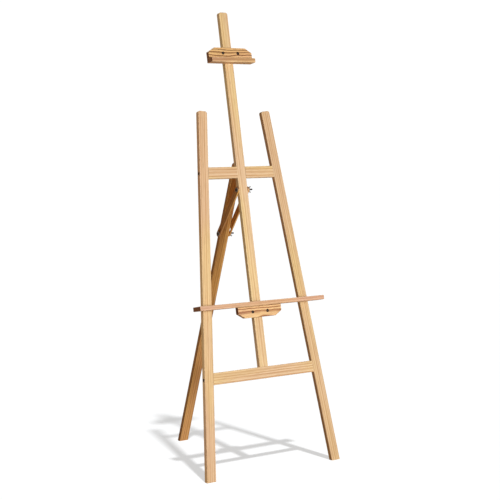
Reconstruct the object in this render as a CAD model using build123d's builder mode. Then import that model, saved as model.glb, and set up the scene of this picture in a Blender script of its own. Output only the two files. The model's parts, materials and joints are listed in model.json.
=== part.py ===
from build123d import *
import os
from math import atan, cos, hypot, radians, sin, tan

# Wooden artist easel: two splayed front legs joined by two crossbars, a fixed mast that carries
# a canvas tray and a canvas clamp, and a hinged rear leg held open by a pair of slotted slats.
# Millimetres, +Z up. The origin is on the floor, at the middle of the footprint, and the painter
# stands on the -Y side. Heights are measured up along the leaning front frame, and depths are
# measured backwards from its front face.

# Timber
STOCK_WIDTH = 40
STOCK_THICKNESS = 17
TOP_CORNER_RADIUS = 9
EDGE_RADIUS = 1.5
SAW_ALLOWANCE = 60

# Front frame
FRAME_LEAN = 11
FOOT_SPACING = 592
LEG_TOP_SPACING = 296
LEG_HEIGHT = 1392
MAST_HEIGHT = 1782
BAR_WIDTH = 45
UPPER_BAR_HEIGHT = 1152
LOWER_BAR_HEIGHT = 376
LAP_DEPTH = STOCK_THICKNESS / 2

# Rear leg and its butt hinge
REAR_LEAN = 19
OPEN_ANGLE = FRAME_LEAN + REAR_LEAN
FOLD_TRAVEL = 27.5
REAR_LEG_HEAD = 22
BEVEL_GAP = 0.5
PIN_HEIGHT = 1165.3
PIN_STANDOFF = 3
PIN_RADIUS = 1.25
PIN_BORE_RADIUS = 1.3
HINGE_WIDTH = 36
LEAF_LENGTH = 27
LEAF_THICKNESS = 1.5
KNUCKLE_RADIUS = 2.7
KNUCKLE_GAP = 0.15
HINGE_SCREW_SPACING = 22
HINGE_SCREW_DROP = 17

# Brace slats between the mast and the rear leg
SLAT_WIDTH = 24
SLAT_THICKNESS = 6
SLAT_GAP = 0.3
SLAT_EDGE_RADIUS = 0.8
SLOT_WIDTH = 10
SLOT_SPARE = 1
BRACE_BOLT_HEIGHT = 1085
BRACE_BOLT_DROP = 273

# Tray and canvas clamp: each has a front plate and a back plate bolted round the mast
PLATE_LENGTH = 204
PLATE_WIDTH = 43
PLATE_CHAMFER_LENGTH = 30
PLATE_CHAMFER_WIDTH = 18
BACK_PLATE_LENGTH = 104
BACK_PLATE_WIDTH = 40
BACK_PLATE_CORNER_RADIUS = 6
PLATE_GAP = 0.2
PLATE_BOLT_SPACING = 70
PLATE_SCREW_SPACING = 130
TRAY_HEIGHT = 649
TRAY_LENGTH = 586
TRAY_DEPTH = 50
LEDGE_HEIGHT = 1594.5
LEDGE_DEPTH = 37

# Bolts, wing nuts, screws and dowels
BOLT_RADIUS = 3
BOLT_CLEARANCE = 0.06
BOLT_HEAD_RADIUS = 6
BOLT_HEAD_HEIGHT = 3.4
BOLT_HEAD_RIM = 1
BOLT_HEAD_SHOULDER = (4.9, 2.55)
BOLT_CROWN_RADIUS = 3.2
SOCKET_RADIUS = 2.3
SOCKET_DEPTH = 2
PLATE_BOLT_LENGTH = 65
BRACE_BOLT_LENGTH = 75
FRAME_BOLT_LENGTH = 70
FRAME_BOLT_RECESS = 4.5
RECESS_RADIUS = 6.6
WASHER_RADIUS = 9
WASHER_THICKNESS = 1.2
WASHER_GAP = 0.2
NUT_GAP = 0.1
NUT_BASE_RADIUS = 6
NUT_TOP_RADIUS = 4.8
NUT_HEIGHT = 7
WING_ROOT = (3.5, 3)
WING_ROOT_RADIUS = 1.8
WING_TIP = (9.9, 9.8)
WING_TIP_RADIUS = 3.6
WING_THICKNESS = 2.4
BARREL_RADIUS = 5
BARREL_LENGTH = 13
BARREL_SETBACK = 22
DOWEL_RADIUS = 3
DOWEL_LENGTH = 30
DOWEL_OFFSET = 14
FIT_GAP = 0.05
HINGE_SCREW = (1.5, 14)
PLATE_SCREW = (2, 38)
BRACE_NUT_TURN = 15
PLATE_NUT_TURNS = (20, 65)
MAST_SCREW = (2.5, 75)
MAST_SCREW_RECESS = 12

RIGHT = Vector(1, 0, 0)
LEFT = Vector(-1, 0, 0)
TOP_ALIGNED = (Align.CENTER, Align.CENTER, Align.MAX)
BOTTOM_ALIGNED = (Align.CENTER, Align.CENTER, Align.MIN)


def standing_plane(origin, lean):
    """Plane facing the painter, with its Y axis up along timber that leans back by lean degrees."""
    forward = Vector(0, -cos(radians(lean)), sin(radians(lean)))
    return Plane(origin=origin, x_dir=RIGHT, z_dir=forward)


def footprint_depth():
    """Floor distance from the front edge of the front feet to the back edge of the rear foot."""
    lean = radians(FRAME_LEAN)
    depth = STOCK_THICKNESS + PIN_STANDOFF
    pin_y = PIN_HEIGHT * sin(lean) + depth * cos(lean)
    pin_z = PIN_HEIGHT * cos(lean) - depth * sin(lean)
    return pin_y + depth / cos(radians(REAR_LEAN)) + pin_z * tan(radians(REAR_LEAN))


FRAME = standing_plane((0, -footprint_depth() / 2, 0), FRAME_LEAN)
UP = FRAME.y_dir
FORWARD = FRAME.z_dir
BACKWARD = FORWARD * -1
DOWN = UP * -1
SPLAY = atan((FOOT_SPACING - LEG_TOP_SPACING) / 2 / LEG_HEIGHT)
MID_DEPTH = STOCK_THICKNESS / 2


def frame_point(across, height, depth):
    """Point given across the frame, up along it and back from its front face."""
    return Vector(FRAME.from_local_coords((across, height, -depth)))


def facing(point, direction):
    """Plane at a point, facing a direction, with its X axis across the easel or up the frame."""
    sideways = abs(direction.X) > 0.5
    return Plane(origin=point, x_dir=UP if sideways else RIGHT, z_dir=direction)


def turned(seat, angle):
    """Seat turned about the direction that it faces, by an angle in degrees."""
    across = seat.x_dir * cos(radians(angle)) + seat.y_dir * sin(radians(angle))
    return Plane(origin=seat.origin, x_dir=across, z_dir=seat.z_dir)


PIN = frame_point(0, PIN_HEIGHT, STOCK_THICKNESS + PIN_STANDOFF)
HINGE_ON_FRAME = standing_plane(PIN, FRAME_LEAN)
HINGE_ON_LEG = standing_plane(PIN, -REAR_LEAN)
REAR_LEG_FACE = HINGE_ON_LEG.offset(-PIN_STANDOFF)
UPPER_BRACE_BOLT = frame_point(0, BRACE_BOLT_HEIGHT, MID_DEPTH)
LOWER_BRACE_BOLT = Vector(REAR_LEG_FACE.from_local_coords((0, -BRACE_BOLT_DROP, -MID_DEPTH)))


def leg_centre(height):
    """Distance from the middle of the easel to a front leg's centre line."""
    return FOOT_SPACING / 2 - height * tan(SPLAY)


def leg_inside(height):
    return leg_centre(height) - STOCK_WIDTH / 2 / cos(SPLAY)


def leg_outside(height):
    return leg_centre(height) + STOCK_WIDTH / 2 / cos(SPLAY)


def save(piece, name):
    piece.part.label = name
    export_step(piece.part, f"parts/{name}.step")


# Steps shared by several pieces: each works on the part that is being built


def add_stock(piece, plane, bottom, top):
    """Length of leg stock with rounded top corners and eased edges, behind the given plane."""
    with BuildSketch(plane) as outline:
        with Locations((0, (bottom + top) / 2)):
            Rectangle(STOCK_WIDTH, top - bottom)
        fillet(outline.vertices().group_by(Axis.Y)[-1], TOP_CORNER_RADIUS)
    extrude(outline.sketch, amount=-STOCK_THICKNESS)
    fillet(piece.edges(), EDGE_RADIUS)


def rod_across(start, end, centre, radius, mode=Mode.ADD):
    """Round bar along X, between two distances from the middle of the easel."""
    middle = Vector((start + end) / 2, centre.Y, centre.Z)
    with Locations(Location(middle, (0, 90, 0))):
        Cylinder(radius, abs(end - start), mode=mode)


def bore_across(start, end, centre, radius):
    rod_across(start, end, centre, radius, mode=Mode.SUBTRACT)


def bore(seat, radius, depth):
    """Round hole sunk from a seat's plane, against the way that it faces."""
    with Locations(seat.location):
        Cylinder(radius, depth, align=TOP_ALIGNED, mode=Mode.SUBTRACT)


def bore_screw(seat, screw):
    """Countersunk hole that clears a wood screw."""
    radius, length = screw
    bore(seat, radius + FIT_GAP, length + FIT_GAP)
    with Locations(seat.location):
        Cone(radius, 2 * radius + FIT_GAP, radius + FIT_GAP, align=TOP_ALIGNED, mode=Mode.SUBTRACT)


# Places of the fasteners


def dowel_heights(bar_height):
    return [bar_height - DOWEL_OFFSET, bar_height + DOWEL_OFFSET]


def barrel_seat(side, bar_height):
    across = side * (leg_inside(bar_height) - BARREL_SETBACK)
    return facing(frame_point(across, bar_height, MID_DEPTH + BARREL_LENGTH / 2), BACKWARD)


def frame_bolt_seat(side, bar_height):
    across = side * (leg_outside(bar_height) - FRAME_BOLT_RECESS)
    return facing(frame_point(across, bar_height, MID_DEPTH), RIGHT * side)


def plate_bolt_seats(height, depth, direction):
    return [
        facing(frame_point(side * PLATE_BOLT_SPACING / 2, height, depth), direction)
        for side in (-1, 1)
    ]


def plate_screw_seats(height, direction):
    depth = -PLATE_GAP - STOCK_THICKNESS / 2
    return [
        facing(frame_point(side * PLATE_SCREW_SPACING / 2, height, depth), direction)
        for side in (-1, 1)
    ]


def hinge_screw_seats(plane, side):
    """Screw seats on the face of a hinge leaf that is turned to the other leaf."""
    surface = plane.offset(side * (PIN_STANDOFF - LEAF_THICKNESS))
    direction = surface.z_dir * -side
    return [
        facing(Vector(surface.from_local_coords((across, -HINGE_SCREW_DROP, 0))), direction)
        for across in (-HINGE_SCREW_SPACING / 2, HINGE_SCREW_SPACING / 2)
    ]


MAST_SCREW_SEAT = facing(
    frame_point(0, LOWER_BAR_HEIGHT - BAR_WIDTH / 2 + MAST_SCREW_RECESS, MID_DEPTH), DOWN
)
FRAME_SCREW_SEATS = hinge_screw_seats(HINGE_ON_FRAME, 1)
LEG_SCREW_SEATS = hinge_screw_seats(HINGE_ON_LEG, -1)


# Front frame


def front_leg():
    """Right front leg, bored for the bolts and dowels of both crossbars."""
    foot = frame_point(FOOT_SPACING / 2, 0, 0)
    across = RIGHT * cos(SPLAY) + UP * sin(SPLAY)
    with BuildPart() as leg:
        add_stock(leg, Plane(foot, across, FORWARD), -SAW_ALLOWANCE, LEG_HEIGHT / cos(SPLAY))
        split(bisect_by=Plane.XY, keep=Keep.TOP)
        for height in (UPPER_BAR_HEIGHT, LOWER_BAR_HEIGHT):
            seat = frame_bolt_seat(1, height)
            bore(seat, BOLT_RADIUS + BOLT_CLEARANCE, FRAME_BOLT_LENGTH)
            bore(seat.offset(2 * FRAME_BOLT_RECESS), RECESS_RADIUS, 2 * FRAME_BOLT_RECESS)
            for dowel in dowel_heights(height):
                end = leg_inside(dowel) + DOWEL_LENGTH / 2
                bore_across(0, end, frame_point(0, dowel, MID_DEPTH), DOWEL_RADIUS + FIT_GAP)
    return leg


def mirrored(piece):
    with BuildPart() as other:
        mirror(piece.part, about=Plane.YZ)
    return other


def crossbar(height, lapped):
    """Crossbar with ends cut to the splay, bored for its bolts, barrel nuts and dowels."""
    low = height - BAR_WIDTH / 2
    high = height + BAR_WIDTH / 2
    ends = [(leg_inside(low), low), (leg_inside(high), high)]
    corners = ends + [(-across, level) for across, level in reversed(ends)]
    with BuildPart() as bar:
        with BuildSketch(FRAME):
            with BuildLine():
                Polyline(corners, close=True)
            make_face()
        extrude(amount=-STOCK_THICKNESS)
        fillet(bar.edges().filter_by(Axis.X), EDGE_RADIUS)
        if lapped:
            with BuildSketch(FRAME):
                with Locations((0, height)):
                    Rectangle(STOCK_WIDTH, BAR_WIDTH)
            extrude(amount=-LAP_DEPTH, mode=Mode.SUBTRACT)
        for side in (-1, 1):
            bore(frame_bolt_seat(side, height), BOLT_RADIUS + BOLT_CLEARANCE, FRAME_BOLT_LENGTH + FIT_GAP)
            nut = barrel_seat(side, height)
            bore(nut.offset(STOCK_THICKNESS), BARREL_RADIUS + FIT_GAP, STOCK_THICKNESS + BARREL_LENGTH)
            for dowel in dowel_heights(height):
                start = leg_inside(dowel) - DOWEL_LENGTH / 2
                centre = frame_point(0, dowel, MID_DEPTH)
                bore_across(side * start, side * FOOT_SPACING / 2, centre, DOWEL_RADIUS + FIT_GAP)
    return bar


def upper_bar():
    bar = crossbar(UPPER_BAR_HEIGHT, lapped=True)
    with BuildPart() as drilled:
        add(bar.part)
        for seat in FRAME_SCREW_SEATS:
            bore_screw(seat, HINGE_SCREW)
    return drilled


def lower_bar():
    bar = crossbar(LOWER_BAR_HEIGHT, lapped=False)
    with BuildPart() as drilled:
        add(bar.part)
        bore_screw(MAST_SCREW_SEAT, MAST_SCREW)
        bore(MAST_SCREW_SEAT.offset(BAR_WIDTH), RECESS_RADIUS, BAR_WIDTH)
    return drilled


def centre_mast():
    """Mast that stands on the lower crossbar and is lapped over the upper one."""
    foot = LOWER_BAR_HEIGHT + BAR_WIDTH / 2
    with BuildPart() as mast:
        add_stock(mast, FRAME, foot - SAW_ALLOWANCE, MAST_HEIGHT)
        split(bisect_by=facing(frame_point(0, foot, 0), UP), keep=Keep.TOP)
        with BuildSketch(FRAME.offset(-STOCK_THICKNESS)):
            with Locations((0, UPPER_BAR_HEIGHT)):
                Rectangle(STOCK_WIDTH, BAR_WIDTH)
        extrude(amount=STOCK_THICKNESS - LAP_DEPTH, mode=Mode.SUBTRACT)
        bore_across(-STOCK_WIDTH, STOCK_WIDTH, UPPER_BRACE_BOLT, BOLT_RADIUS + BOLT_CLEARANCE)
        bore(MAST_SCREW_SEAT, MAST_SCREW[0] + FIT_GAP, MAST_SCREW[1] + FIT_GAP)
        for seat in FRAME_SCREW_SEATS:
            bore_screw(seat, HINGE_SCREW)
    return mast


# Rear leg, hinge and brace


def back_leg():
    """Rear leg, with its head bevelled to bear on the back of the mast when it is open."""
    with BuildPart() as leg:
        reach = PIN.Z / cos(radians(REAR_LEAN)) + SAW_ALLOWANCE
        add_stock(leg, REAR_LEG_FACE, -reach, REAR_LEG_HEAD)
        split(bisect_by=Plane.XY, keep=Keep.TOP)
        split(bisect_by=FRAME.offset(-STOCK_THICKNESS - BEVEL_GAP), keep=Keep.BOTTOM)
        bore_across(-STOCK_WIDTH, STOCK_WIDTH, LOWER_BRACE_BOLT, BOLT_RADIUS + BOLT_CLEARANCE)
        for seat in LEG_SCREW_SEATS:
            bore_screw(seat, HINGE_SCREW)
    return leg


def knuckle_spans(middle):
    """Stretches of the hinge barrel that belong to the leaf with or without the middle knuckle."""
    third = HINGE_WIDTH / 6
    if middle:
        return [(-third + KNUCKLE_GAP, third - KNUCKLE_GAP)]
    return [(-HINGE_WIDTH / 2, -third - KNUCKLE_GAP), (third + KNUCKLE_GAP, HINGE_WIDTH / 2)]


def hinge_leaf(plane, side, middle, screw_seats):
    """Butt hinge leaf whose plate lies in front of (side 1) or behind (side -1) the pin."""
    with BuildPart() as leaf:
        with BuildSketch(plane.offset(side * PIN_STANDOFF)):
            with Locations((0, -LEAF_LENGTH / 2)):
                Rectangle(HINGE_WIDTH, LEAF_LENGTH)
        extrude(amount=-side * LEAF_THICKNESS)
        for start, end in knuckle_spans(not middle):
            bore_across(start - 2 * KNUCKLE_GAP, end + 2 * KNUCKLE_GAP, PIN, PIN_STANDOFF + 2 * KNUCKLE_GAP)
        for start, end in knuckle_spans(middle):
            rod_across(start, end, PIN, KNUCKLE_RADIUS)
        bore_across(-HINGE_WIDTH, HINGE_WIDTH, PIN, PIN_BORE_RADIUS)
        for seat in screw_seats:
            bore_screw(seat, HINGE_SCREW)
    return leaf


def bolt_distance(fold):
    """Distance between the two brace bolts when the rear leg is folded in by fold degrees."""
    angle = radians(OPEN_ANGLE - fold)
    offset = PIN_STANDOFF + MID_DEPTH
    height = offset * sin(angle) - BRACE_BOLT_DROP * cos(angle)
    depth = BRACE_BOLT_DROP * sin(angle) + offset * cos(angle)
    pivot_height = BRACE_BOLT_HEIGHT - PIN_HEIGHT
    pivot_depth = MID_DEPTH - STOCK_THICKNESS - PIN_STANDOFF
    return hypot(height - pivot_height, depth - pivot_depth)


def brace_slat():
    """Right slat: a round hole at the mast bolt and a slot in which the rear leg's bolt slides."""
    slot_start = bolt_distance(FOLD_TRAVEL) - SLOT_SPARE
    slot_end = bolt_distance(0) + SLOT_SPARE
    origin = UPPER_BRACE_BOLT + RIGHT * (STOCK_WIDTH / 2 + SLAT_GAP)
    inner_face = Plane(origin, LOWER_BRACE_BOLT - UPPER_BRACE_BOLT, RIGHT)
    with BuildPart() as slat:
        with BuildSketch(inner_face):
            with Locations((slot_end / 2, 0)):
                SlotCenterToCenter(slot_end, SLAT_WIDTH)
        extrude(amount=SLAT_THICKNESS)
        fillet(slat.edges(), SLAT_EDGE_RADIUS)
        with BuildSketch(inner_face):
            Circle(BOLT_RADIUS + BOLT_CLEARANCE)
            with Locations(((slot_start + slot_end) / 2, 0)):
                SlotCenterToCenter(slot_end - slot_start, SLOT_WIDTH)
        extrude(amount=SLAT_THICKNESS, mode=Mode.SUBTRACT)
    return slat


# Tray and canvas clamp


def front_plate(bolt_height, chamfer_side):
    """Plate with two chamfered corners, above (side 1) or below (side -1) its bolts."""
    half = PLATE_LENGTH / 2
    outer = bolt_height + chamfer_side * PLATE_WIDTH / 2
    inner = bolt_height - chamfer_side * PLATE_WIDTH / 2
    shoulder = outer - chamfer_side * PLATE_CHAMFER_WIDTH
    side = [(half, inner), (half, shoulder), (half - PLATE_CHAMFER_LENGTH, outer)]
    corners = side + [(-across, level) for across, level in reversed(side)]
    with BuildPart() as plate:
        with BuildSketch(FRAME.offset(PLATE_GAP)):
            with BuildLine():
                Polyline(corners, close=True)
            make_face()
        extrude(amount=STOCK_THICKNESS)
        fillet(plate.edges(), EDGE_RADIUS)
        for seat in plate_bolt_seats(bolt_height, -STOCK_THICKNESS - PLATE_GAP, FORWARD):
            bore(seat, BOLT_RADIUS + BOLT_CLEARANCE, PLATE_BOLT_LENGTH)
        for seat in plate_screw_seats(inner, UP * -chamfer_side):
            bore(seat, PLATE_SCREW[0] + FIT_GAP, PLATE_SCREW[1] - STOCK_THICKNESS + FIT_GAP)
    return plate


def back_plate(bolt_height):
    with BuildPart() as plate:
        with BuildSketch(FRAME.offset(-STOCK_THICKNESS - PLATE_GAP)):
            with Locations((0, bolt_height)):
                RectangleRounded(BACK_PLATE_LENGTH, BACK_PLATE_WIDTH, BACK_PLATE_CORNER_RADIUS)
        extrude(amount=-STOCK_THICKNESS)
        fillet(plate.edges(), EDGE_RADIUS)
        for seat in plate_bolt_seats(bolt_height, 0, FORWARD):
            bore(seat, BOLT_RADIUS + BOLT_CLEARANCE, PLATE_BOLT_LENGTH)
    return plate


def shelf(height, length, depth, side):
    """Board square to the mast, with its canvas face turned up (side 1) or down (side -1)."""
    centre = frame_point(0, height - side * STOCK_THICKNESS / 2, -PLATE_GAP - depth / 2)
    with BuildPart() as board:
        with BuildSketch(facing(centre, UP)):
            Rectangle(length, depth)
        extrude(amount=STOCK_THICKNESS / 2, both=True)
        fillet(board.edges(), EDGE_RADIUS)
        for seat in plate_screw_seats(height, UP * side):
            bore_screw(seat, PLATE_SCREW)
    return board


# Fasteners


def profile_plane(seat):
    """Plane through a seat's axis, with X along the seat and Y the way that it faces."""
    return Plane(origin=seat.origin, x_dir=seat.x_dir, z_dir=seat.y_dir * -1)


def button_bolts(seats, length):
    """Button-head bolts with a hex socket, their heads seated on the given planes."""
    rim = (BOLT_HEAD_RADIUS, BOLT_HEAD_RIM)
    crown = (BOLT_CROWN_RADIUS, BOLT_HEAD_HEIGHT)
    with BuildPart() as bolts:
        for seat in seats:
            with BuildSketch(profile_plane(seat)):
                with BuildLine():
                    Polyline(crown, (0, BOLT_HEAD_HEIGHT), (0, -length), (BOLT_RADIUS, -length))
                    Polyline((BOLT_RADIUS, -length), (BOLT_RADIUS, 0), (BOLT_HEAD_RADIUS, 0), rim)
                    ThreePointArc(rim, BOLT_HEAD_SHOULDER, crown)
                make_face()
            revolve(axis=Axis(seat.origin, seat.z_dir))
            with BuildSketch(seat.offset(BOLT_HEAD_HEIGHT)):
                RegularPolygon(SOCKET_RADIUS, 6)
            extrude(amount=-SOCKET_DEPTH, mode=Mode.SUBTRACT)
    return bolts


def washers(seats):
    with BuildPart() as rings:
        with Locations(*[seat.location for seat in seats]):
            Cylinder(WASHER_RADIUS, WASHER_THICKNESS, align=BOTTOM_ALIGNED)
            Cylinder(BOLT_RADIUS + FIT_GAP, WASHER_THICKNESS, align=BOTTOM_ALIGNED, mode=Mode.SUBTRACT)
    return rings


def wing_nut(seat):
    """Wing nut that stands on a seat, with its wings along the seat's X axis."""
    with BuildPart() as nut:
        with Locations(seat.location):
            Cone(NUT_BASE_RADIUS, NUT_TOP_RADIUS, NUT_HEIGHT, align=BOTTOM_ALIGNED)
        with BuildSketch(profile_plane(seat)):
            with Locations(WING_ROOT):
                Circle(WING_ROOT_RADIUS)
            with Locations(WING_TIP):
                Circle(WING_TIP_RADIUS)
            make_hull()
            mirror(about=Plane.YZ)
        extrude(amount=WING_THICKNESS / 2, both=True)
        with Locations(seat.location):
            Cylinder(BOLT_RADIUS + FIT_GAP, 4 * NUT_HEIGHT, mode=Mode.SUBTRACT)
    return nut


def wood_screws(seats, screw):
    """Countersunk screws with cross recesses, their heads level with the given planes."""
    radius, length = screw
    slot = 3 * radius
    with BuildPart() as screws:
        with Locations(*[seat.location for seat in seats]):
            Cylinder(radius, length, align=TOP_ALIGNED)
            Cone(radius, 2 * radius, radius, align=TOP_ALIGNED)
            Box(slot, radius / 2, radius / 2, align=TOP_ALIGNED, mode=Mode.SUBTRACT)
            Box(radius / 2, slot, radius / 2, align=TOP_ALIGNED, mode=Mode.SUBTRACT)
    return screws


def barrel_nuts():
    with BuildPart() as nuts:
        for height in (UPPER_BAR_HEIGHT, LOWER_BAR_HEIGHT):
            for side in (-1, 1):
                with Locations(barrel_seat(side, height).location):
                    Cylinder(BARREL_RADIUS, BARREL_LENGTH, align=TOP_ALIGNED)
                bore(frame_bolt_seat(side, height), BOLT_RADIUS + FIT_GAP, FRAME_BOLT_LENGTH + FIT_GAP)
    return nuts


def dowels():
    """Dowels that stop each crossbar turning on its bolts."""
    with BuildPart() as pegs:
        for height in (UPPER_BAR_HEIGHT, LOWER_BAR_HEIGHT):
            for peg in dowel_heights(height):
                for side in (-1, 1):
                    middle = side * leg_inside(peg)
                    start = middle - DOWEL_LENGTH / 2 + FIT_GAP
                    end = middle + DOWEL_LENGTH / 2 - FIT_GAP
                    rod_across(start, end, frame_point(0, peg, MID_DEPTH), DOWEL_RADIUS)
    return pegs


def hinge_pin():
    with BuildPart() as pin:
        rod_across(-HINGE_WIDTH / 2, HINGE_WIDTH / 2, PIN, PIN_RADIUS)
    return pin


def brace_stack(bolt_centre):
    """Seats on either side of the slats: two for washers, one for the bolt, one for the nut."""
    washer_at = STOCK_WIDTH / 2 + SLAT_GAP + SLAT_THICKNESS + WASHER_GAP
    head_at = washer_at + WASHER_THICKNESS
    washer_seats = [
        facing(bolt_centre + LEFT * washer_at, LEFT),
        facing(bolt_centre + RIGHT * washer_at, RIGHT),
    ]
    head_seat = facing(bolt_centre + LEFT * head_at, LEFT)
    nut_seat = facing(bolt_centre + RIGHT * (head_at + NUT_GAP), RIGHT)
    return washer_seats, head_seat, turned(nut_seat, BRACE_NUT_TURN)


def save_clamped_plates(name, bolt_height, chamfer_side):
    """Front and back plates of the tray or the canvas clamp, with the fasteners between them."""
    front_depth = -PLATE_GAP - STOCK_THICKNESS
    back_depth = PLATE_GAP + 2 * STOCK_THICKNESS
    nut_depth = back_depth + WASHER_THICKNESS + NUT_GAP
    save(front_plate(bolt_height, chamfer_side), f"{name}_front_plate")
    save(back_plate(bolt_height), f"{name}_back_plate")
    heads = plate_bolt_seats(bolt_height, front_depth, FORWARD)
    save(button_bolts(heads, PLATE_BOLT_LENGTH), f"{name}_bolts")
    save(washers(plate_bolt_seats(bolt_height, back_depth, BACKWARD)), f"{name}_washers")
    nut_seats = plate_bolt_seats(bolt_height, nut_depth, BACKWARD)
    for side, turn, seat in zip(("left", "right"), PLATE_NUT_TURNS, nut_seats):
        save(wing_nut(turned(seat, turn)), f"{name}_{side}_wing_nut")


def save_brace_fasteners(name, bolt_centre):
    washer_seats, head_seat, nut_seat = brace_stack(bolt_centre)
    save(button_bolts([head_seat], BRACE_BOLT_LENGTH), f"brace_{name}_bolt")
    save(washers(washer_seats), f"brace_{name}_washers")
    save(wing_nut(nut_seat), f"brace_{name}_wing_nut")


def save_front_frame():
    right_leg = front_leg()
    save(right_leg, "right_leg")
    save(mirrored(right_leg), "left_leg")
    save(upper_bar(), "upper_crossbar")
    save(lower_bar(), "lower_crossbar")
    save(centre_mast(), "mast")
    bars = (UPPER_BAR_HEIGHT, LOWER_BAR_HEIGHT)
    heads = [frame_bolt_seat(side, height) for height in bars for side in (-1, 1)]
    save(button_bolts(heads, FRAME_BOLT_LENGTH), "crossbar_bolts")
    save(barrel_nuts(), "crossbar_barrel_nuts")
    save(dowels(), "crossbar_dowels")
    save(wood_screws([MAST_SCREW_SEAT], MAST_SCREW), "mast_foot_screw")


def save_hinge_and_brace():
    save(back_leg(), "rear_leg")
    save(hinge_leaf(HINGE_ON_FRAME, 1, False, FRAME_SCREW_SEATS), "hinge_frame_leaf")
    save(hinge_leaf(HINGE_ON_LEG, -1, True, LEG_SCREW_SEATS), "hinge_leg_leaf")
    save(hinge_pin(), "hinge_pin")
    save(wood_screws(FRAME_SCREW_SEATS, HINGE_SCREW), "hinge_frame_screws")
    save(wood_screws(LEG_SCREW_SEATS, HINGE_SCREW), "hinge_leg_screws")
    right_slat = brace_slat()
    save(right_slat, "brace_right_slat")
    save(mirrored(right_slat), "brace_left_slat")
    save_brace_fasteners("upper", UPPER_BRACE_BOLT)
    save_brace_fasteners("lower", LOWER_BRACE_BOLT)


def save_tray_and_clamp():
    save(shelf(TRAY_HEIGHT, TRAY_LENGTH, TRAY_DEPTH, 1), "tray")
    save_clamped_plates("tray", TRAY_HEIGHT - STOCK_THICKNESS - PLATE_WIDTH / 2, -1)
    save(wood_screws(plate_screw_seats(TRAY_HEIGHT, UP), PLATE_SCREW), "tray_screws")
    ledge_face = LEDGE_HEIGHT - STOCK_THICKNESS
    save(shelf(ledge_face, PLATE_LENGTH, LEDGE_DEPTH, -1), "clamp_ledge")
    save_clamped_plates("clamp", LEDGE_HEIGHT + PLATE_WIDTH / 2, 1)
    save(wood_screws(plate_screw_seats(ledge_face, DOWN), PLATE_SCREW), "clamp_screws")


os.makedirs("parts", exist_ok=True)
save_front_frame()
save_hinge_and_brace()
save_tray_and_clamp()
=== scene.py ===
import bmesh
import bpy
import json
from math import ceil, cos, pi, radians, sin, tau
from mathutils import Matrix, Vector

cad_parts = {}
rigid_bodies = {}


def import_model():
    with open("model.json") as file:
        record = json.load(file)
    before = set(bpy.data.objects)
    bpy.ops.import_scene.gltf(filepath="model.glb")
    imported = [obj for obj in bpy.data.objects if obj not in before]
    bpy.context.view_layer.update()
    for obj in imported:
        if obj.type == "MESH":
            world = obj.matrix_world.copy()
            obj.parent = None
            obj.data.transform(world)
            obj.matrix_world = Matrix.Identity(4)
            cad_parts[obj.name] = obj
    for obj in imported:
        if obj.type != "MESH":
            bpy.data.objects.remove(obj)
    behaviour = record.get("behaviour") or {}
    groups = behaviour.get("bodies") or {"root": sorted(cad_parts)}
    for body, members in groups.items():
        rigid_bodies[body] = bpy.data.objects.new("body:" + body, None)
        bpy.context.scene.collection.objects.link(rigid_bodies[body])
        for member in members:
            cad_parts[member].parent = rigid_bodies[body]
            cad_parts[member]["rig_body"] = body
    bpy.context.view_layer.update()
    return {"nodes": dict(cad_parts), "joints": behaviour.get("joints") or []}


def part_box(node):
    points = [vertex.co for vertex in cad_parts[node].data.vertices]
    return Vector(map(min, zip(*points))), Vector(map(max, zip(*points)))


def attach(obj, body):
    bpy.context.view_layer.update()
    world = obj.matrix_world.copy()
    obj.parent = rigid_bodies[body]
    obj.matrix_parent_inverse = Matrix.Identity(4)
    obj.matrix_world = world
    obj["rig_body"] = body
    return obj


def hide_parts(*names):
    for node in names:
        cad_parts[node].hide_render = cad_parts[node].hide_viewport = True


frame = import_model()

MM = 0.001
RIGHT = Vector((1, 0, 0))
JOINTS = {joint["name"]: joint for joint in frame["joints"]}
UP = Vector(JOINTS["tray_slide"]["axis"])
BACKWARD = Vector(JOINTS["tray_left_wing_nut_turn"]["axis"])
FORWARD = -BACKWARD


# Materials


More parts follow.
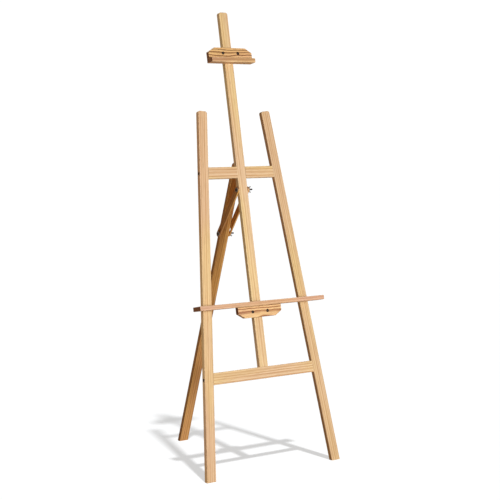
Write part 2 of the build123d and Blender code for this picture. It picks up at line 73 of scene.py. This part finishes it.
class Graph:
    """Short spelling for the nodes of one material."""

    def __init__(self, name):
        self.material = bpy.data.materials.new(name)
        self.material.use_nodes = True
        self.tree = self.material.node_tree
        self.tree.nodes.clear()
        self.shader = self.add("BsdfPrincipled")
        self.tree.links.new(self.shader.outputs[0], self.add("OutputMaterial").inputs["Surface"])

    def add(self, kind, **settings):
        node = self.tree.nodes.new("ShaderNode" + kind)
        for key, value in settings.items():
            setattr(node, key, value)
        return node

    def feed(self, socket, value):
        if isinstance(value, bpy.types.NodeSocket):
            self.tree.links.new(value, socket)
        else:
            socket.default_value = value

    def math(self, operation, *values):
        node = self.add("Math", operation=operation)
        for socket, value in zip(node.inputs, values):
            self.feed(socket, value)
        return node.outputs[0]

    def vector(self, operation, *values, result=0):
        node = self.add("VectorMath", operation=operation)
        for socket, value in zip(node.inputs, values):
            self.feed(socket, value)
        return node.outputs[result]

    def scaled(self, place, *factors):
        return self.vector("MULTIPLY", place, factors)

    def noise(self, place, detail=2.0, roughness=0.5, colour=False):
        node = self.add("TexNoise")
        self.feed(node.inputs["Vector"], place)
        self.feed(node.inputs["Scale"], 1.0)
        self.feed(node.inputs["Detail"], detail)
        self.feed(node.inputs["Roughness"], roughness)
        return node.outputs[1 if colour else 0]

    def band(self, value, low, high, start=0.0, end=1.0):
        """Smooth step from start to end as the value goes from low to high."""
        node = self.add("MapRange", interpolation_type="SMOOTHSTEP")
        for socket, item in zip(node.inputs, (value, low, high, start, end)):
            self.feed(socket, item)
        return node.outputs[0]

    def ramp(self, factor, stops):
        node = self.add("ValToRGB")
        elements = node.color_ramp.elements
        while len(elements) < len(stops):
            elements.new(0.5)
        for element, (place, level) in zip(elements, stops):
            element.position = place
            element.color = (level, level, level, 1)
        self.feed(node.inputs[0], factor)
        return node.outputs[0]

    def mix(self, factor, first, second, blend="MIX"):
        node = self.add("Mix", data_type="RGBA", blend_type=blend)
        for place, value in zip((0, 6, 7), (factor, first, second)):
            self.feed(node.inputs[place], value)
        return node.outputs[2]

    def tinted(self, base, tint):
        return self.mix(1.0, base, tint, "MULTIPLY")

    def bump(self, height, strength, distance):
        """Feed a height to the shader's normal. The distance is in metres."""
        node = self.add("Bump")
        node.inputs["Strength"].default_value = strength
        node.inputs["Distance"].default_value = distance
        self.feed(node.inputs["Height"], height)
        self.feed(self.shader.inputs["Normal"], node.outputs[0])


def colour(red, green, blue):
    return (red, green, blue, 1.0)


def board_axes(node):
    """Grain, width and thickness directions of a board, from its largest faces, and its middle."""
    areas = {}
    for face in node.data.polygons:
        key = tuple(round(abs(v), 2) for v in face.normal)
        total, normal = areas.get(key, (0.0, face.normal.copy()))
        areas[key] = (total + face.area, normal)
    ranked = [normal for total, normal in sorted(areas.values(), key=lambda item: -item[0])]
    thickness = ranked[0]
    width = next(n for n in ranked if abs(n.dot(thickness)) < 0.05)
    grain = width.cross(thickness).normalized()
    low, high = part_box(node.name)
    return Matrix((grain, width, thickness)), (low + high) / 2


STREAK_TINT = colour(0.86, 0.80, 0.72)
FIBRE_TINT = colour(0.88, 0.84, 0.78)
DRIFT_TINTS = (colour(1.03, 1.02, 0.88), colour(0.98, 0.92, 0.97))
# End faces: darker end grain, deepened further with painted shade
END_GRAIN_AND_SHADE_TINT = colour(0.36, 0.26, 0.20)
RESIN = colour(0.30, 0.15, 0.06)
WORN_WOOD = colour(0.74, 0.56, 0.36)
BENDS_PER_BOARD = 1.7
METRES_BETWEEN_BOARDS = 1.7


def pine(node_name, wood, pith, edge, spacing, sway, start):
    """Planed pine with growth rings about a pith line outside the board, and satin oil on it.

    The wood is its spring and summer colours and the least strength of its rings, and the edge
    colour is painted shade that darkens the narrow faces. Noise scales are per metre along, across
    and through the board, and the start is the place along the pattern, in metres, that the board is
    taken from."""
    early, late, boldness = wood
    axes, middle = board_axes(frame["nodes"][node_name])
    reach = [axes[0].dot(vert.co) for vert in frame["nodes"][node_name].data.vertices]
    waves = BENDS_PER_BOARD / (max(reach) - min(reach))
    g = Graph(node_name + "_pine")
    coords = g.add("TexCoord")
    place = g.add("Mapping")
    g.feed(place.inputs["Vector"], coords.outputs["Object"])
    place.inputs["Rotation"].default_value = axes.to_euler()
    place.inputs["Location"].default_value = Vector((start, *pith)) - axes @ middle
    p = place.outputs[0]

    bend = g.vector("SUBTRACT", g.noise(g.scaled(p, waves, 11, 11), 2.0, colour=True), (0.5, 0.5, 0.5))
    q = g.vector("ADD", p, g.scaled(bend, 0, sway, sway))
    parts = g.add("SeparateXYZ")
    g.feed(parts.inputs[0], q)

    # Rings: darker towards the end of each year, and of a different strength each year
    radius = g.vector("LENGTH", g.scaled(q, 0, 1, 1), result=1)
    radius = g.math("MULTIPLY_ADD", parts.outputs[0], 0.006, radius)
    phase = g.math("DIVIDE", radius, spacing)
    uneven = g.noise(g.scaled(q, 0.3, 45, 45), 1.0)
    phase = g.math("MULTIPLY_ADD", uneven, 1.2, phase)
    year = g.math("FRACT", phase)
    number = g.add("TexWhiteNoise", noise_dimensions="1D")
    g.feed(number.inputs["W"], g.math("FLOOR", phase))
    profile = g.ramp(year, [(0.0, 0.3), (0.08, 0.0), (0.5, 0.1), (0.72, 0.6), (0.9, 1.0), (1.0, 0.3)])
    strength = g.math("MULTIPLY_ADD", number.outputs[0], 0.7, boldness)
    summer = g.math("MULTIPLY", profile, strength)

    streak = g.noise(g.scaled(p, 5, 230, 230), 3.0, 0.6)
    fibre = g.noise(g.scaled(p, 22, 1300, 1300), 2.0, 0.6)
    drift = g.noise(g.scaled(p, 2.2, 18, 18), 1.0)
    duct = g.band(g.noise(g.scaled(p, 28, 900, 900), 0.0), 0.69, 0.75)

    # How squarely each face looks along the grain, the width and the thickness
    facing = [
        g.math("ABSOLUTE", g.vector("DOT_PRODUCT", coords.outputs["Normal"], tuple(axis), result=1))
        for axis in axes
    ]
    end = g.band(facing[0], 0.72, 0.93)
    squarest = g.math("MAXIMUM", facing[0], g.math("MAXIMUM", facing[1], facing[2]))
    rim = g.band(squarest, 0.985, 0.86)

    shade = g.mix(summer, colour(*early), colour(*late))
    shade = g.mix(g.band(streak, 0.35, 0.68), shade, g.tinted(shade, STREAK_TINT))
    shade = g.tinted(shade, g.mix(g.band(drift, 0.35, 0.65), *DRIFT_TINTS))
    shade = g.mix(g.band(fibre, 0.3, 0.7, 0.0, 0.35), shade, g.tinted(shade, FIBRE_TINT))
    shade = g.mix(g.math("MULTIPLY", duct, 0.45), shade, RESIN)
    worn = g.math("MULTIPLY", rim, g.band(streak, 0.3, 0.6, 0.1, 0.45))
    shade = g.mix(worn, shade, WORN_WOOD)
    # Painted shade: the board's edge colour darkens its narrow faces
    narrow_shade_mask = g.band(facing[1], 0.6, 0.85)
    shade = g.mix(narrow_shade_mask, shade, g.tinted(shade, colour(*edge)))
    # End faces get darker end grain and painted shade on top of it
    shade = g.mix(end, shade, g.tinted(shade, END_GRAIN_AND_SHADE_TINT))
    g.feed(g.shader.inputs["Base Color"], shade)

    rough = g.math("MULTIPLY_ADD", fibre, 0.16, 0.40)
    rough = g.math("MULTIPLY_ADD", summer, -0.08, rough)
    rough = g.math("MULTIPLY_ADD", end, 0.22, rough)
    g.feed(g.shader.inputs["Roughness"], rough)
    height = g.math("MULTIPLY_ADD", summer, 0.35, g.math("MULTIPLY", fibre, 0.6))
    saw = g.math("MULTIPLY", g.noise(g.scaled(p, 900, 700, 700), 2.0), end)
    g.bump(g.math("ADD", height, saw), 0.35, 0.0004)
    g.shader.inputs["Specular IOR Level"].default_value = 0.35
    g.shader.inputs["Coat Weight"].default_value = 0.08
    g.shader.inputs["Coat Roughness"].default_value = 0.35
    return g.material


def steel(name, base, roughness, metallic=1.0, tarnish=(0.7, 0.62, 0.5)):
    """Metal with a mottled finish, fine scratches and a little tarnish."""
    g = Graph(name)
    coords = g.add("TexCoord")
    place = coords.outputs["Object"]
    mottle = g.noise(g.scaled(place, 600, 600, 600), 3.0, 0.6)
    blotch = g.noise(g.scaled(place, 160, 160, 160), 2.0)
    scratch = g.noise(g.scaled(place, 300, 2600, 2600), 2.0)
    tarnished = g.tinted(colour(*base), colour(*tarnish))
    stained = g.mix(g.band(blotch, 0.45, 0.7, 0.0, 0.6), colour(*base), tarnished)
    g.feed(g.shader.inputs["Base Color"], stained)
    g.feed(g.shader.inputs["Roughness"], g.math("MULTIPLY_ADD", mottle, 0.22, roughness - 0.1))
    g.shader.inputs["Metallic"].default_value = metallic
    g.bump(g.math("ADD", mottle, scratch), 0.3, 0.00015)
    return g.material


def dress(node_name, material):
    node = frame["nodes"][node_name]
    node.data.materials.clear()
    node.data.materials.append(material)


FRAME_PINE = ((0.80, 0.585, 0.325), (0.58, 0.30, 0.11), 0.4)
GOLDEN_PINE = ((0.79, 0.56, 0.305), (0.57, 0.285, 0.10), 0.4)
PALE_PINE = ((0.82, 0.605, 0.345), (0.61, 0.335, 0.135), 0.3)
TRAY_PINE = ((0.72, 0.45, 0.27), (0.50, 0.22, 0.09), 0.4)
PLATE_PINE = ((0.86, 0.56, 0.29), (0.30, 0.085, 0.02), 0.6)
CLAMP_PINE = ((0.84, 0.52, 0.24), (0.16, 0.04, 0.006), 0.6)
LEDGE_PINE = ((0.90, 0.61, 0.34), (0.30, 0.10, 0.02), 0.4)
REAR_PINE = ((0.79, 0.455, 0.165), (0.50, 0.21, 0.05), 0.4)
BIRCH = ((0.72, 0.55, 0.36), (0.62, 0.42, 0.24), 0.2)

# Wood, pith beside and behind the board, painted shade on its narrow faces, ring spacing and sway
BOARDS = {
    "left_leg": (GOLDEN_PINE, (0.150, 0.016), (1.0, 1.0, 1.0), 0.0080, 0.003),
    "right_leg": (FRAME_PINE, (-0.070, 0.030), (1.0, 1.0, 1.0), 0.0085, 0.004),
    "mast": (PALE_PINE, (0.060, -0.048), (0.82, 0.85, 0.85), 0.0080, 0.004),
    "upper_crossbar": (FRAME_PINE, (0.120, 0.045), (1.0, 1.0, 1.0), 0.0100, 0.002),
    "lower_crossbar": (FRAME_PINE, (-0.100, 0.050), (1.0, 1.0, 1.0), 0.0100, 0.004),
    "rear_leg": (REAR_PINE, (0.060, 0.025), (0.95, 0.95, 0.95), 0.0080, 0.004),
    "brace_left_slat": (REAR_PINE, (0.030, 0.030), (1.0, 1.0, 1.0), 0.0060, 0.003),
    "brace_right_slat": (REAR_PINE, (-0.030, 0.040), (1.0, 1.0, 1.0), 0.0060, 0.003),
    "tray": (TRAY_PINE, (0.030, 0.065), (1.0, 1.0, 1.0), 0.0075, 0.005),
    "tray_front_plate": (PLATE_PINE, (0.032, 0.022), (0.9, 0.85, 0.8), 0.0095, 0.012),
    "tray_back_plate": (PLATE_PINE, (-0.030, 0.040), (0.9, 0.85, 0.8), 0.0080, 0.006),
    "clamp_ledge": (LEDGE_PINE, (0.055, 0.025), (1.0, 1.0, 1.0), 0.0085, 0.005),
    "clamp_front_plate": (CLAMP_PINE, (-0.034, 0.022), (0.9, 0.85, 0.8), 0.0100, 0.014),
    "clamp_back_plate": (CLAMP_PINE, (0.034, 0.035), (0.9, 0.85, 0.8), 0.0085, 0.006),
    "crossbar_dowels": (BIRCH, (0.020, 0.020), (1.0, 1.0, 1.0), 0.0040, 0.001),
}

for index, (board, finish) in enumerate(BOARDS.items()):
    dress(board, pine(board, *finish, start=METRES_BETWEEN_BOARDS * index))

BLACK = steel("black_oxide", (0.050, 0.034, 0.026), 0.46, metallic=0.8, tarnish=(1.5, 1.1, 0.8))
ZINC = steel("bright_zinc", (0.40, 0.385, 0.36), 0.46, tarnish=(0.55, 0.46, 0.36))
PLATED = steel("plated_hinge", (0.58, 0.55, 0.48), 0.36)
for name in ("hinge_frame_leaf", "hinge_leg_leaf", "hinge_pin"):
    dress(name, PLATED)
for name in ("crossbar_barrel_nuts", "hinge_frame_screws", "hinge_leg_screws"):
    dress(name, ZINC)


# Hardware, in millimetres along and round a seat: a place whose Z axis is the way a fastener faces

BOLT_RADIUS = 3.0
BOLT_HEAD_RADIUS = 5.95
BOLT_HEAD_HEIGHT = 3.4
BOLT_DOME_BASE = 0.9
BOLT_DOME_HEIGHT = 2.5
BAR_BOLT_THREAD = 22
LONG_BOLT_THREAD = 26
WASHER_BORE = 3.3
WASHER_RADIUS = 9.0
PLATE_SCREW_RADIUS = 2.0
FOOT_SCREW_RADIUS = 2.5
NUT_BORE = 3.1
THREAD_STEPS = 8
SHARP_ANGLE = radians(40)


def seat_at(origin, direction, across=None):
    z = Vector(direction).normalized()
    x = Vector(across) if across else z.orthogonal()
    x = (x - z * x.dot(z)).normalized()
    turn = Matrix((x, z.cross(x), z)).transposed()
    return Matrix.Translation(origin) @ turn.to_4x4() @ Matrix.Scale(MM, 4)


def solids(node_name):
    """Points of each separate solid of a CAD node."""
    mesh = bmesh.new()
    mesh.from_mesh(frame["nodes"][node_name].data)
    bmesh.ops.remove_doubles(mesh, verts=mesh.verts, dist=1e-6)
    left = set(mesh.verts)
    found = []
    for start in mesh.verts:
        if start not in left:
            continue
        left.remove(start)
        queue = [start]
        points = []
        while queue:
            vert = queue.pop()
            points.append(vert.co.copy())
            near = {edge.other_vert(vert) for edge in vert.link_edges} & left
            left -= near
            queue.extend(near)
        found.append(points)
    mesh.free()
    return found


def fastener_span(points, direction):
    """Seat at the top of a fastener that faces a direction, and its length in millimetres."""
    z = Vector(direction).normalized()
    x = z.orthogonal().normalized()
    spans = [[point.dot(axis) for point in points] for axis in (x, z.cross(x), z)]
    middle = [(min(span) + max(span)) / 2 for span in spans[:2]]
    origin = x * middle[0] + z.cross(x) * middle[1] + z * max(spans[2])
    return seat_at(origin, z), (max(spans[2]) - min(spans[2])) / MM


def ring(mesh, seat, radius, height, count):
    """Ring of points round a seat's axis. A radius or a height may be a function of the angle."""
    points = []
    for step in range(count):
        angle = tau * step / count
        r = radius(angle) if callable(radius) else radius
        h = height(angle) if callable(height) else height
        points.append(mesh.verts.new(seat @ Vector((r * cos(angle), r * sin(angle), h))))
    return points


def lathe(mesh, seat, profile, count=48, closed=False):
    """Skin over rings of (radius, height), capped at both ends, or closed on itself."""
    rings = [ring(mesh, seat, radius, height, count) for radius, height in profile]
    pairs = list(zip(rings, rings[1:]))
    if closed:
        pairs.append((rings[-1], rings[0]))
    else:
        mesh.faces.new(list(reversed(rings[0])))
        mesh.faces.new(rings[-1])
    for low, high in pairs:
        for step in range(count):
            after = (step + 1) % count
            mesh.faces.new((low[step], low[after], high[after], high[step]))


def hexagon(across_corners):
    """Outline of a hexagon, as a radius at each angle."""
    flat = across_corners * cos(pi / 6)
    return lambda angle: flat / cos((angle + pi / 6) % (pi / 3) - pi / 6)


def cross(length, width):
    """Outline of a cross recess, as a radius at each angle."""

    def radius(angle):
        off = (angle + pi / 4) % (pi / 2) - pi / 4
        return min(length / cos(off), width / 2 / max(abs(sin(off)), 1e-6))

    return radius


def thread(radius, start, end, depth=0.6, pitch=1.0):
    """Rings of a helical thread that fades out at both ends."""
    rows = []
    count = ceil((end - start) / pitch * THREAD_STEPS)
    for row in range(count + 1):
        height = start + (end - start) * row / count
        fade = min(1.0, row / THREAD_STEPS, (count - row) / THREAD_STEPS)

        def shape(angle, height=height, fade=fade):
            phase = (height / pitch - angle / tau) % 1.0
            return radius - depth * fade * abs(2 * phase - 1)

        rows.append((shape, height))
    return rows


def piece(name, mesh, material, nodes):
    """Object made from a bmesh, riding on the body of the CAD nodes that it replaces."""
    bmesh.ops.recalc_face_normals(mesh, faces=mesh.faces)
    data = bpy.data.meshes.new(name)
    mesh.to_mesh(data)
    mesh.free()
    data.materials.append(material)
    data.set_sharp_from_angle(angle=SHARP_ANGLE)
    made = bpy.data.objects.new(name, data)
    bpy.context.scene.collection.objects.link(made)
    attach(made, frame["nodes"][nodes[0]]["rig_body"])
    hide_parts(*nodes)
    return made


def add_button_bolt(mesh, top, length, threaded):
    """Domed bolt with a hex socket, from the seat at the top of its head."""
    shank, rim = BOLT_RADIUS, BOLT_HEAD_RADIUS
    under = -BOLT_HEAD_HEIGHT
    dome = under + BOLT_DOME_BASE
    tip = -length
    profile = [(1.9, tip), (2.4, tip + 0.5)]
    profile += thread(shank, tip + 0.6, tip + threaded)
    profile += [(shank, tip + threaded + 0.3), (shank, under - 0.25), (3.2, under)]
    profile += [(rim - 0.2, under), (rim, under + 0.2), (rim + 0.05, under + 0.5), (rim, dome)]
    profile += [(rim * cos(t), dome + BOLT_DOME_HEIGHT * sin(t)) for t in (0.25, 0.5, 0.75, 0.95)]
    profile += [(2.95, -0.03), (2.6, 0.0), (hexagon(2.35), -0.08), (hexagon(2.3), -0.3)]
    profile += [(hexagon(2.3), -2.0), (0.9, -2.3), (0.2, -2.5)]
    lathe(mesh, top, profile)


def make_bolts(node_name, direction_of, threaded):
    mesh = bmesh.new()
    for points in solids(node_name):
        top, length = fastener_span(points, direction_of(points))
        add_button_bolt(mesh, top, length, threaded)
    piece(node_name + "_detail", mesh, BLACK, [node_name])


def make_washers(node_name, direction):
    mesh = bmesh.new()
    for points in solids(node_name):
        top, thickness = fastener_span(points, direction)
        bore, rim, under = WASHER_BORE, WASHER_RADIUS, -thickness
        profile = [(bore - 0.15, -0.15), (bore, 0.0), (rim - 0.4, 0.0), (rim - 0.1, -0.12), (rim, -0.45)]
        profile += [(rim, under + 0.3), (rim - 0.1, under + 0.05), (rim - 0.3, under)]
        profile += [(bore, under), (bore - 0.15, under + 0.15)]
        lathe(mesh, top, profile, closed=True)
    piece(node_name + "_detail", mesh, ZINC, [node_name])


def make_screws(node_name, direction, radius):
    """Countersunk wood screws with a cross recess, from their CAD solids."""
    mesh = bmesh.new()
    for points in solids(node_name):
        top, length = fastener_span(points, direction)
        tip = -length
        profile = [(0.12, tip), (radius * 0.6, tip + 2.5 * radius)]
        profile += thread(radius, tip + 2.6 * radius, -length / 3, 0.3 * radius, 0.9 * radius)
        profile += [(radius * 0.82, -length / 3 + 0.4), (radius * 0.82, -1.1 * radius)]
        profile += [(1.93 * radius, -0.1 * radius), (1.97 * radius, -0.05 * radius), (1.93 * radius, 0.0)]
        profile += [(cross(1.1 * radius, 0.5 * radius), 0.0), (cross(1.0 * radius, 0.42 * radius), -0.1)]
        profile += [(cross(0.7 * radius, 0.36 * radius), -0.7 * radius), (0.1, -0.9 * radius)]
        lathe(mesh, top, profile, count=64)
    piece(node_name + "_detail", mesh, ZINC, [node_name])


# A wing's outline, as radius and height, and its layers, as share of the outline and offset
EAR = [
    (3.6, 0.9), (5.4, 1.3), (8.0, 3.2), (10.6, 5.5), (12.9, 8.2), (13.5, 10.8), (12.4, 13.0),
    (10.3, 13.4), (8.6, 12.1), (7.4, 9.9), (6.1, 7.7), (4.8, 6.5), (3.6, 6.0),
]
EAR_LAYERS = [
    (0.60, -1.05), (0.80, -1.55), (0.94, -1.2), (1.0, 0.0), (0.94, 1.2), (0.80, 1.55), (0.60, 1.05),
]


def add_ear(mesh, seat, side):
    """One wing of a wing nut, with a rounded rim and a shallow dish in each face."""
    middle = Vector((sum(r for r, z in EAR) / len(EAR), sum(z for r, z in EAR) / len(EAR)))
    layers = []
    for share, offset in EAR_LAYERS:
        loop = []
        for point in EAR:
            r, z = middle + (Vector(point) - middle) * share
            thinned = offset * (1.25 - 0.03 * r)
            loop.append(mesh.verts.new(seat @ Vector((side * r, side * thinned, z))))
        layers.append(loop)
    mesh.faces.new(layers[0])
    mesh.faces.new(layers[-1])
    for low, high in zip(layers, layers[1:]):
        for step in range(len(EAR)):
            after = (step + 1) % len(EAR)
            mesh.faces.new((low[step], low[after], high[after], high[step]))


def make_wing_nut(node_name):
    """Cast wing nut, with its wings along a corner of its CAD solid's, so about 5 degrees off them."""
    joint = JOINTS[node_name + "_turn"]
    axis = Vector(joint["axis"])
    origin = Vector(joint["pos_m"])
    points = [vert.co for vert in frame["nodes"][node_name].data.vertices]
    offsets = [point - origin - axis * (point - origin).dot(axis) for point in points]
    seat = seat_at(origin, axis, max(offsets, key=lambda offset: offset.length))
    mesh = bmesh.new()
    profile = [(NUT_BORE, 0.2), (3.3, 0.0), (5.7, 0.0), (5.95, 0.15), (6.05, 0.5), (5.85, 2.5)]
    profile += [(5.45, 4.6), (5.1, 6.2), (4.9, 6.75), (4.5, 7.0), (3.5, 7.0), (NUT_BORE, 6.7)]
    lathe(mesh, seat, profile, closed=True)
    add_ear(mesh, seat, 1)
    add_ear(mesh, seat, -1)
    made = piece(node_name + "_detail", mesh, ZINC, [node_name])
    surface = made.modifiers.new("cast", "SUBSURF")
    surface.levels = surface.render_levels = 2


def outwards(points):
    return RIGHT if sum(point.x for point in points) > 0 else -RIGHT


make_bolts("crossbar_bolts", outwards, BAR_BOLT_THREAD)
for name in ("tray_bolts", "clamp_bolts"):
    make_bolts(name, lambda points: FORWARD, LONG_BOLT_THREAD)
for name in ("brace_upper_bolt", "brace_lower_bolt"):
    make_bolts(name, lambda points: -RIGHT, LONG_BOLT_THREAD)
for name in ("tray_washers", "clamp_washers"):
    make_washers(name, BACKWARD)
for name in ("brace_upper_washers", "brace_lower_washers"):
    make_washers(name, RIGHT)
make_screws("tray_screws", UP, PLATE_SCREW_RADIUS)
make_screws("clamp_screws", -UP, PLATE_SCREW_RADIUS)
make_screws("mast_foot_screw", -UP, FOOT_SCREW_RADIUS)
for name in frame["nodes"]:
    if name.endswith("wing_nut"):
        make_wing_nut(name)


# Floor, light and camera. Each lamp lights only some of the objects, as its call says

FLOOR_REACH = 45.0
FLOOR_SEEN = colour(0.42, 0.43, 0.44)
FLOOR_GLOW = colour(0.975, 1.0, 1.02)
FLOOR_GLOW_STRENGTH = 0.585
FLOOR_THROWN = colour(0.27, 0.20, 0.14)
AIR_LIGHT = colour(1.0, 0.73, 0.50)
AIR_STRENGTH = 0.15
BACKDROP = colour(1, 1, 1)
BACKDROP_STRENGTH = 1.05
KEY_COLOUR = (0.96, 1.04, 1.12)
SENSOR_WIDTH = 36


def floor_material():
    """Pale floor whose glow keeps its shadows light, and which throws duller, warmer light back up."""
    g = Graph("pale_floor")
    seen = g.add("BsdfDiffuse")
    seen.inputs["Color"].default_value = FLOOR_SEEN
    lift = g.add("Emission")
    lift.inputs["Color"].default_value = FLOOR_GLOW
    lift.inputs["Strength"].default_value = FLOOR_GLOW_STRENGTH
    both = g.add("AddShader")
    dull = g.add("BsdfDiffuse")
    dull.inputs["Color"].default_value = FLOOR_THROWN
    choose = g.add("MixShader")
    rays = g.add("LightPath")
    output = next(n for n in g.tree.nodes if n.type == "OUTPUT_MATERIAL")
    g.tree.nodes.remove(g.shader)
    g.feed(both.inputs[0], seen.outputs[0])
    g.feed(both.inputs[1], lift.outputs[0])
    g.feed(choose.inputs[0], rays.outputs["Is Camera Ray"])
    g.feed(choose.inputs[1], dull.outputs[0])
    g.feed(choose.inputs[2], both.outputs[0])
    g.feed(output.inputs["Surface"], choose.outputs[0])
    return g.material


def add_floor():
    mesh = bpy.data.meshes.new("floor")
    r = FLOOR_REACH
    corners = [(-r, -r, 0), (r, -r, 0), (r, r, 0), (-r, r, 0)]
    mesh.from_pydata(corners, [], [(0, 1, 2, 3)])
    mesh.materials.append(floor_material())
    ground = bpy.data.objects.new("floor", mesh)
    bpy.context.scene.collection.objects.link(ground)
    return ground


def add_world():
    """White backdrop to the camera, and faint warm light from all round on everything else."""
    world = bpy.data.worlds.new("studio")
    world.use_nodes = True
    tree = world.node_tree
    tree.nodes.clear()
    rays = tree.nodes.new("ShaderNodeLightPath")
    light = tree.nodes.new("ShaderNodeBackground")
    light.inputs["Color"].default_value = AIR_LIGHT
    light.inputs["Strength"].default_value = AIR_STRENGTH
    backdrop = tree.nodes.new("ShaderNodeBackground")
    backdrop.inputs["Color"].default_value = BACKDROP
    backdrop.inputs["Strength"].default_value = BACKDROP_STRENGTH
    choose = tree.nodes.new("ShaderNodeMixShader")
    output = tree.nodes.new("ShaderNodeOutputWorld")
    tree.links.new(rays.outputs["Is Camera Ray"], choose.inputs[0])
    tree.links.new(light.outputs[0], choose.inputs[1])
    tree.links.new(backdrop.outputs[0], choose.inputs[2])
    tree.links.new(choose.outputs[0], output.inputs["Surface"])
    bpy.context.scene.world = world


def place_lamp(lamp, towards, linked, state):
    """Lamp that lights only the linked objects, or with state EXCLUDE all but those."""
    holder = bpy.data.objects.new(lamp.name, lamp)
    holder.rotation_mode = "QUATERNION"
    holder.rotation_quaternion = Vector(towards).to_track_quat("Z", "Y")
    bpy.context.scene.collection.objects.link(holder)
    receivers = bpy.data.collections.new(lamp.name + "_receivers")
    holder.light_linking.receiver_collection = receivers
    for obj in linked:
        receivers.objects.link(obj)
    for member in receivers.collection_objects:
        member.light_linking.link_state = state
    return holder


def add_sun(name, towards, strength, softness, linked, state):
    lamp = bpy.data.lights.new(name, "SUN")
    lamp.energy = strength
    lamp.angle = radians(softness)
    place_lamp(lamp, towards, linked, state)


def add_key(place, aim, watts, width, unlit):
    """Round soft box in front of the easel."""
    lamp = bpy.data.lights.new("key", "AREA")
    lamp.shape = "DISK"
    lamp.size = width
    lamp.energy = watts
    lamp.color = KEY_COLOUR
    place_lamp(lamp, Vector(place) - Vector(aim), unlit, "EXCLUDE").location = place


def add_camera(aim, azimuth, elevation, distance, lens, roll):
    """Camera aimed at a point, from azimuth degrees to the right of straight in front."""
    data = bpy.data.cameras.new("camera")
    data.lens = lens
    data.sensor_width = SENSOR_WIDTH
    camera = bpy.data.objects.new("camera", data)
    a, e = radians(azimuth), radians(elevation)
    back = Vector((sin(a) * cos(e), -cos(a) * cos(e), sin(e)))
    camera.location = Vector(aim) + back * distance
    camera.rotation_mode = "QUATERNION"
    tilt = Matrix.Rotation(radians(roll), 3, "Z").to_quaternion()
    camera.rotation_quaternion = back.to_track_quat("Z", "Y") @ tilt
    bpy.context.scene.collection.objects.link(camera)
    bpy.context.scene.camera = camera


bpy.context.scene.view_settings.view_transform = "Standard"
add_world()
ground = add_floor()
add_key(place=(0.28, -4.3, 1.35), aim=(0, 0, 0.9), watts=170, width=1.6, unlit=[ground])
shaded = ("right_leg", "rear_leg", "brace_left_slat", "brace_right_slat")
unfilled = [ground, *(frame["nodes"][name] for name in shaded)]
add_sun("left_fill", (-0.95, -0.05, 0.15), strength=1.25, softness=60, linked=unfilled, state="EXCLUDE")
add_sun("back_fill", (0.55, 0.75, 0.45), strength=2.5, softness=70, linked=[ground], state="EXCLUDE")
add_sun("overhead", (-0.105, -0.407, 0.908), strength=3.2, softness=2.5, linked=[ground], state="INCLUDE")
add_camera(
    aim=(0.1182, 0.0, 0.8148), azimuth=-35.965, elevation=5.177, distance=5.577, lens=100.48, roll=-0.135
)
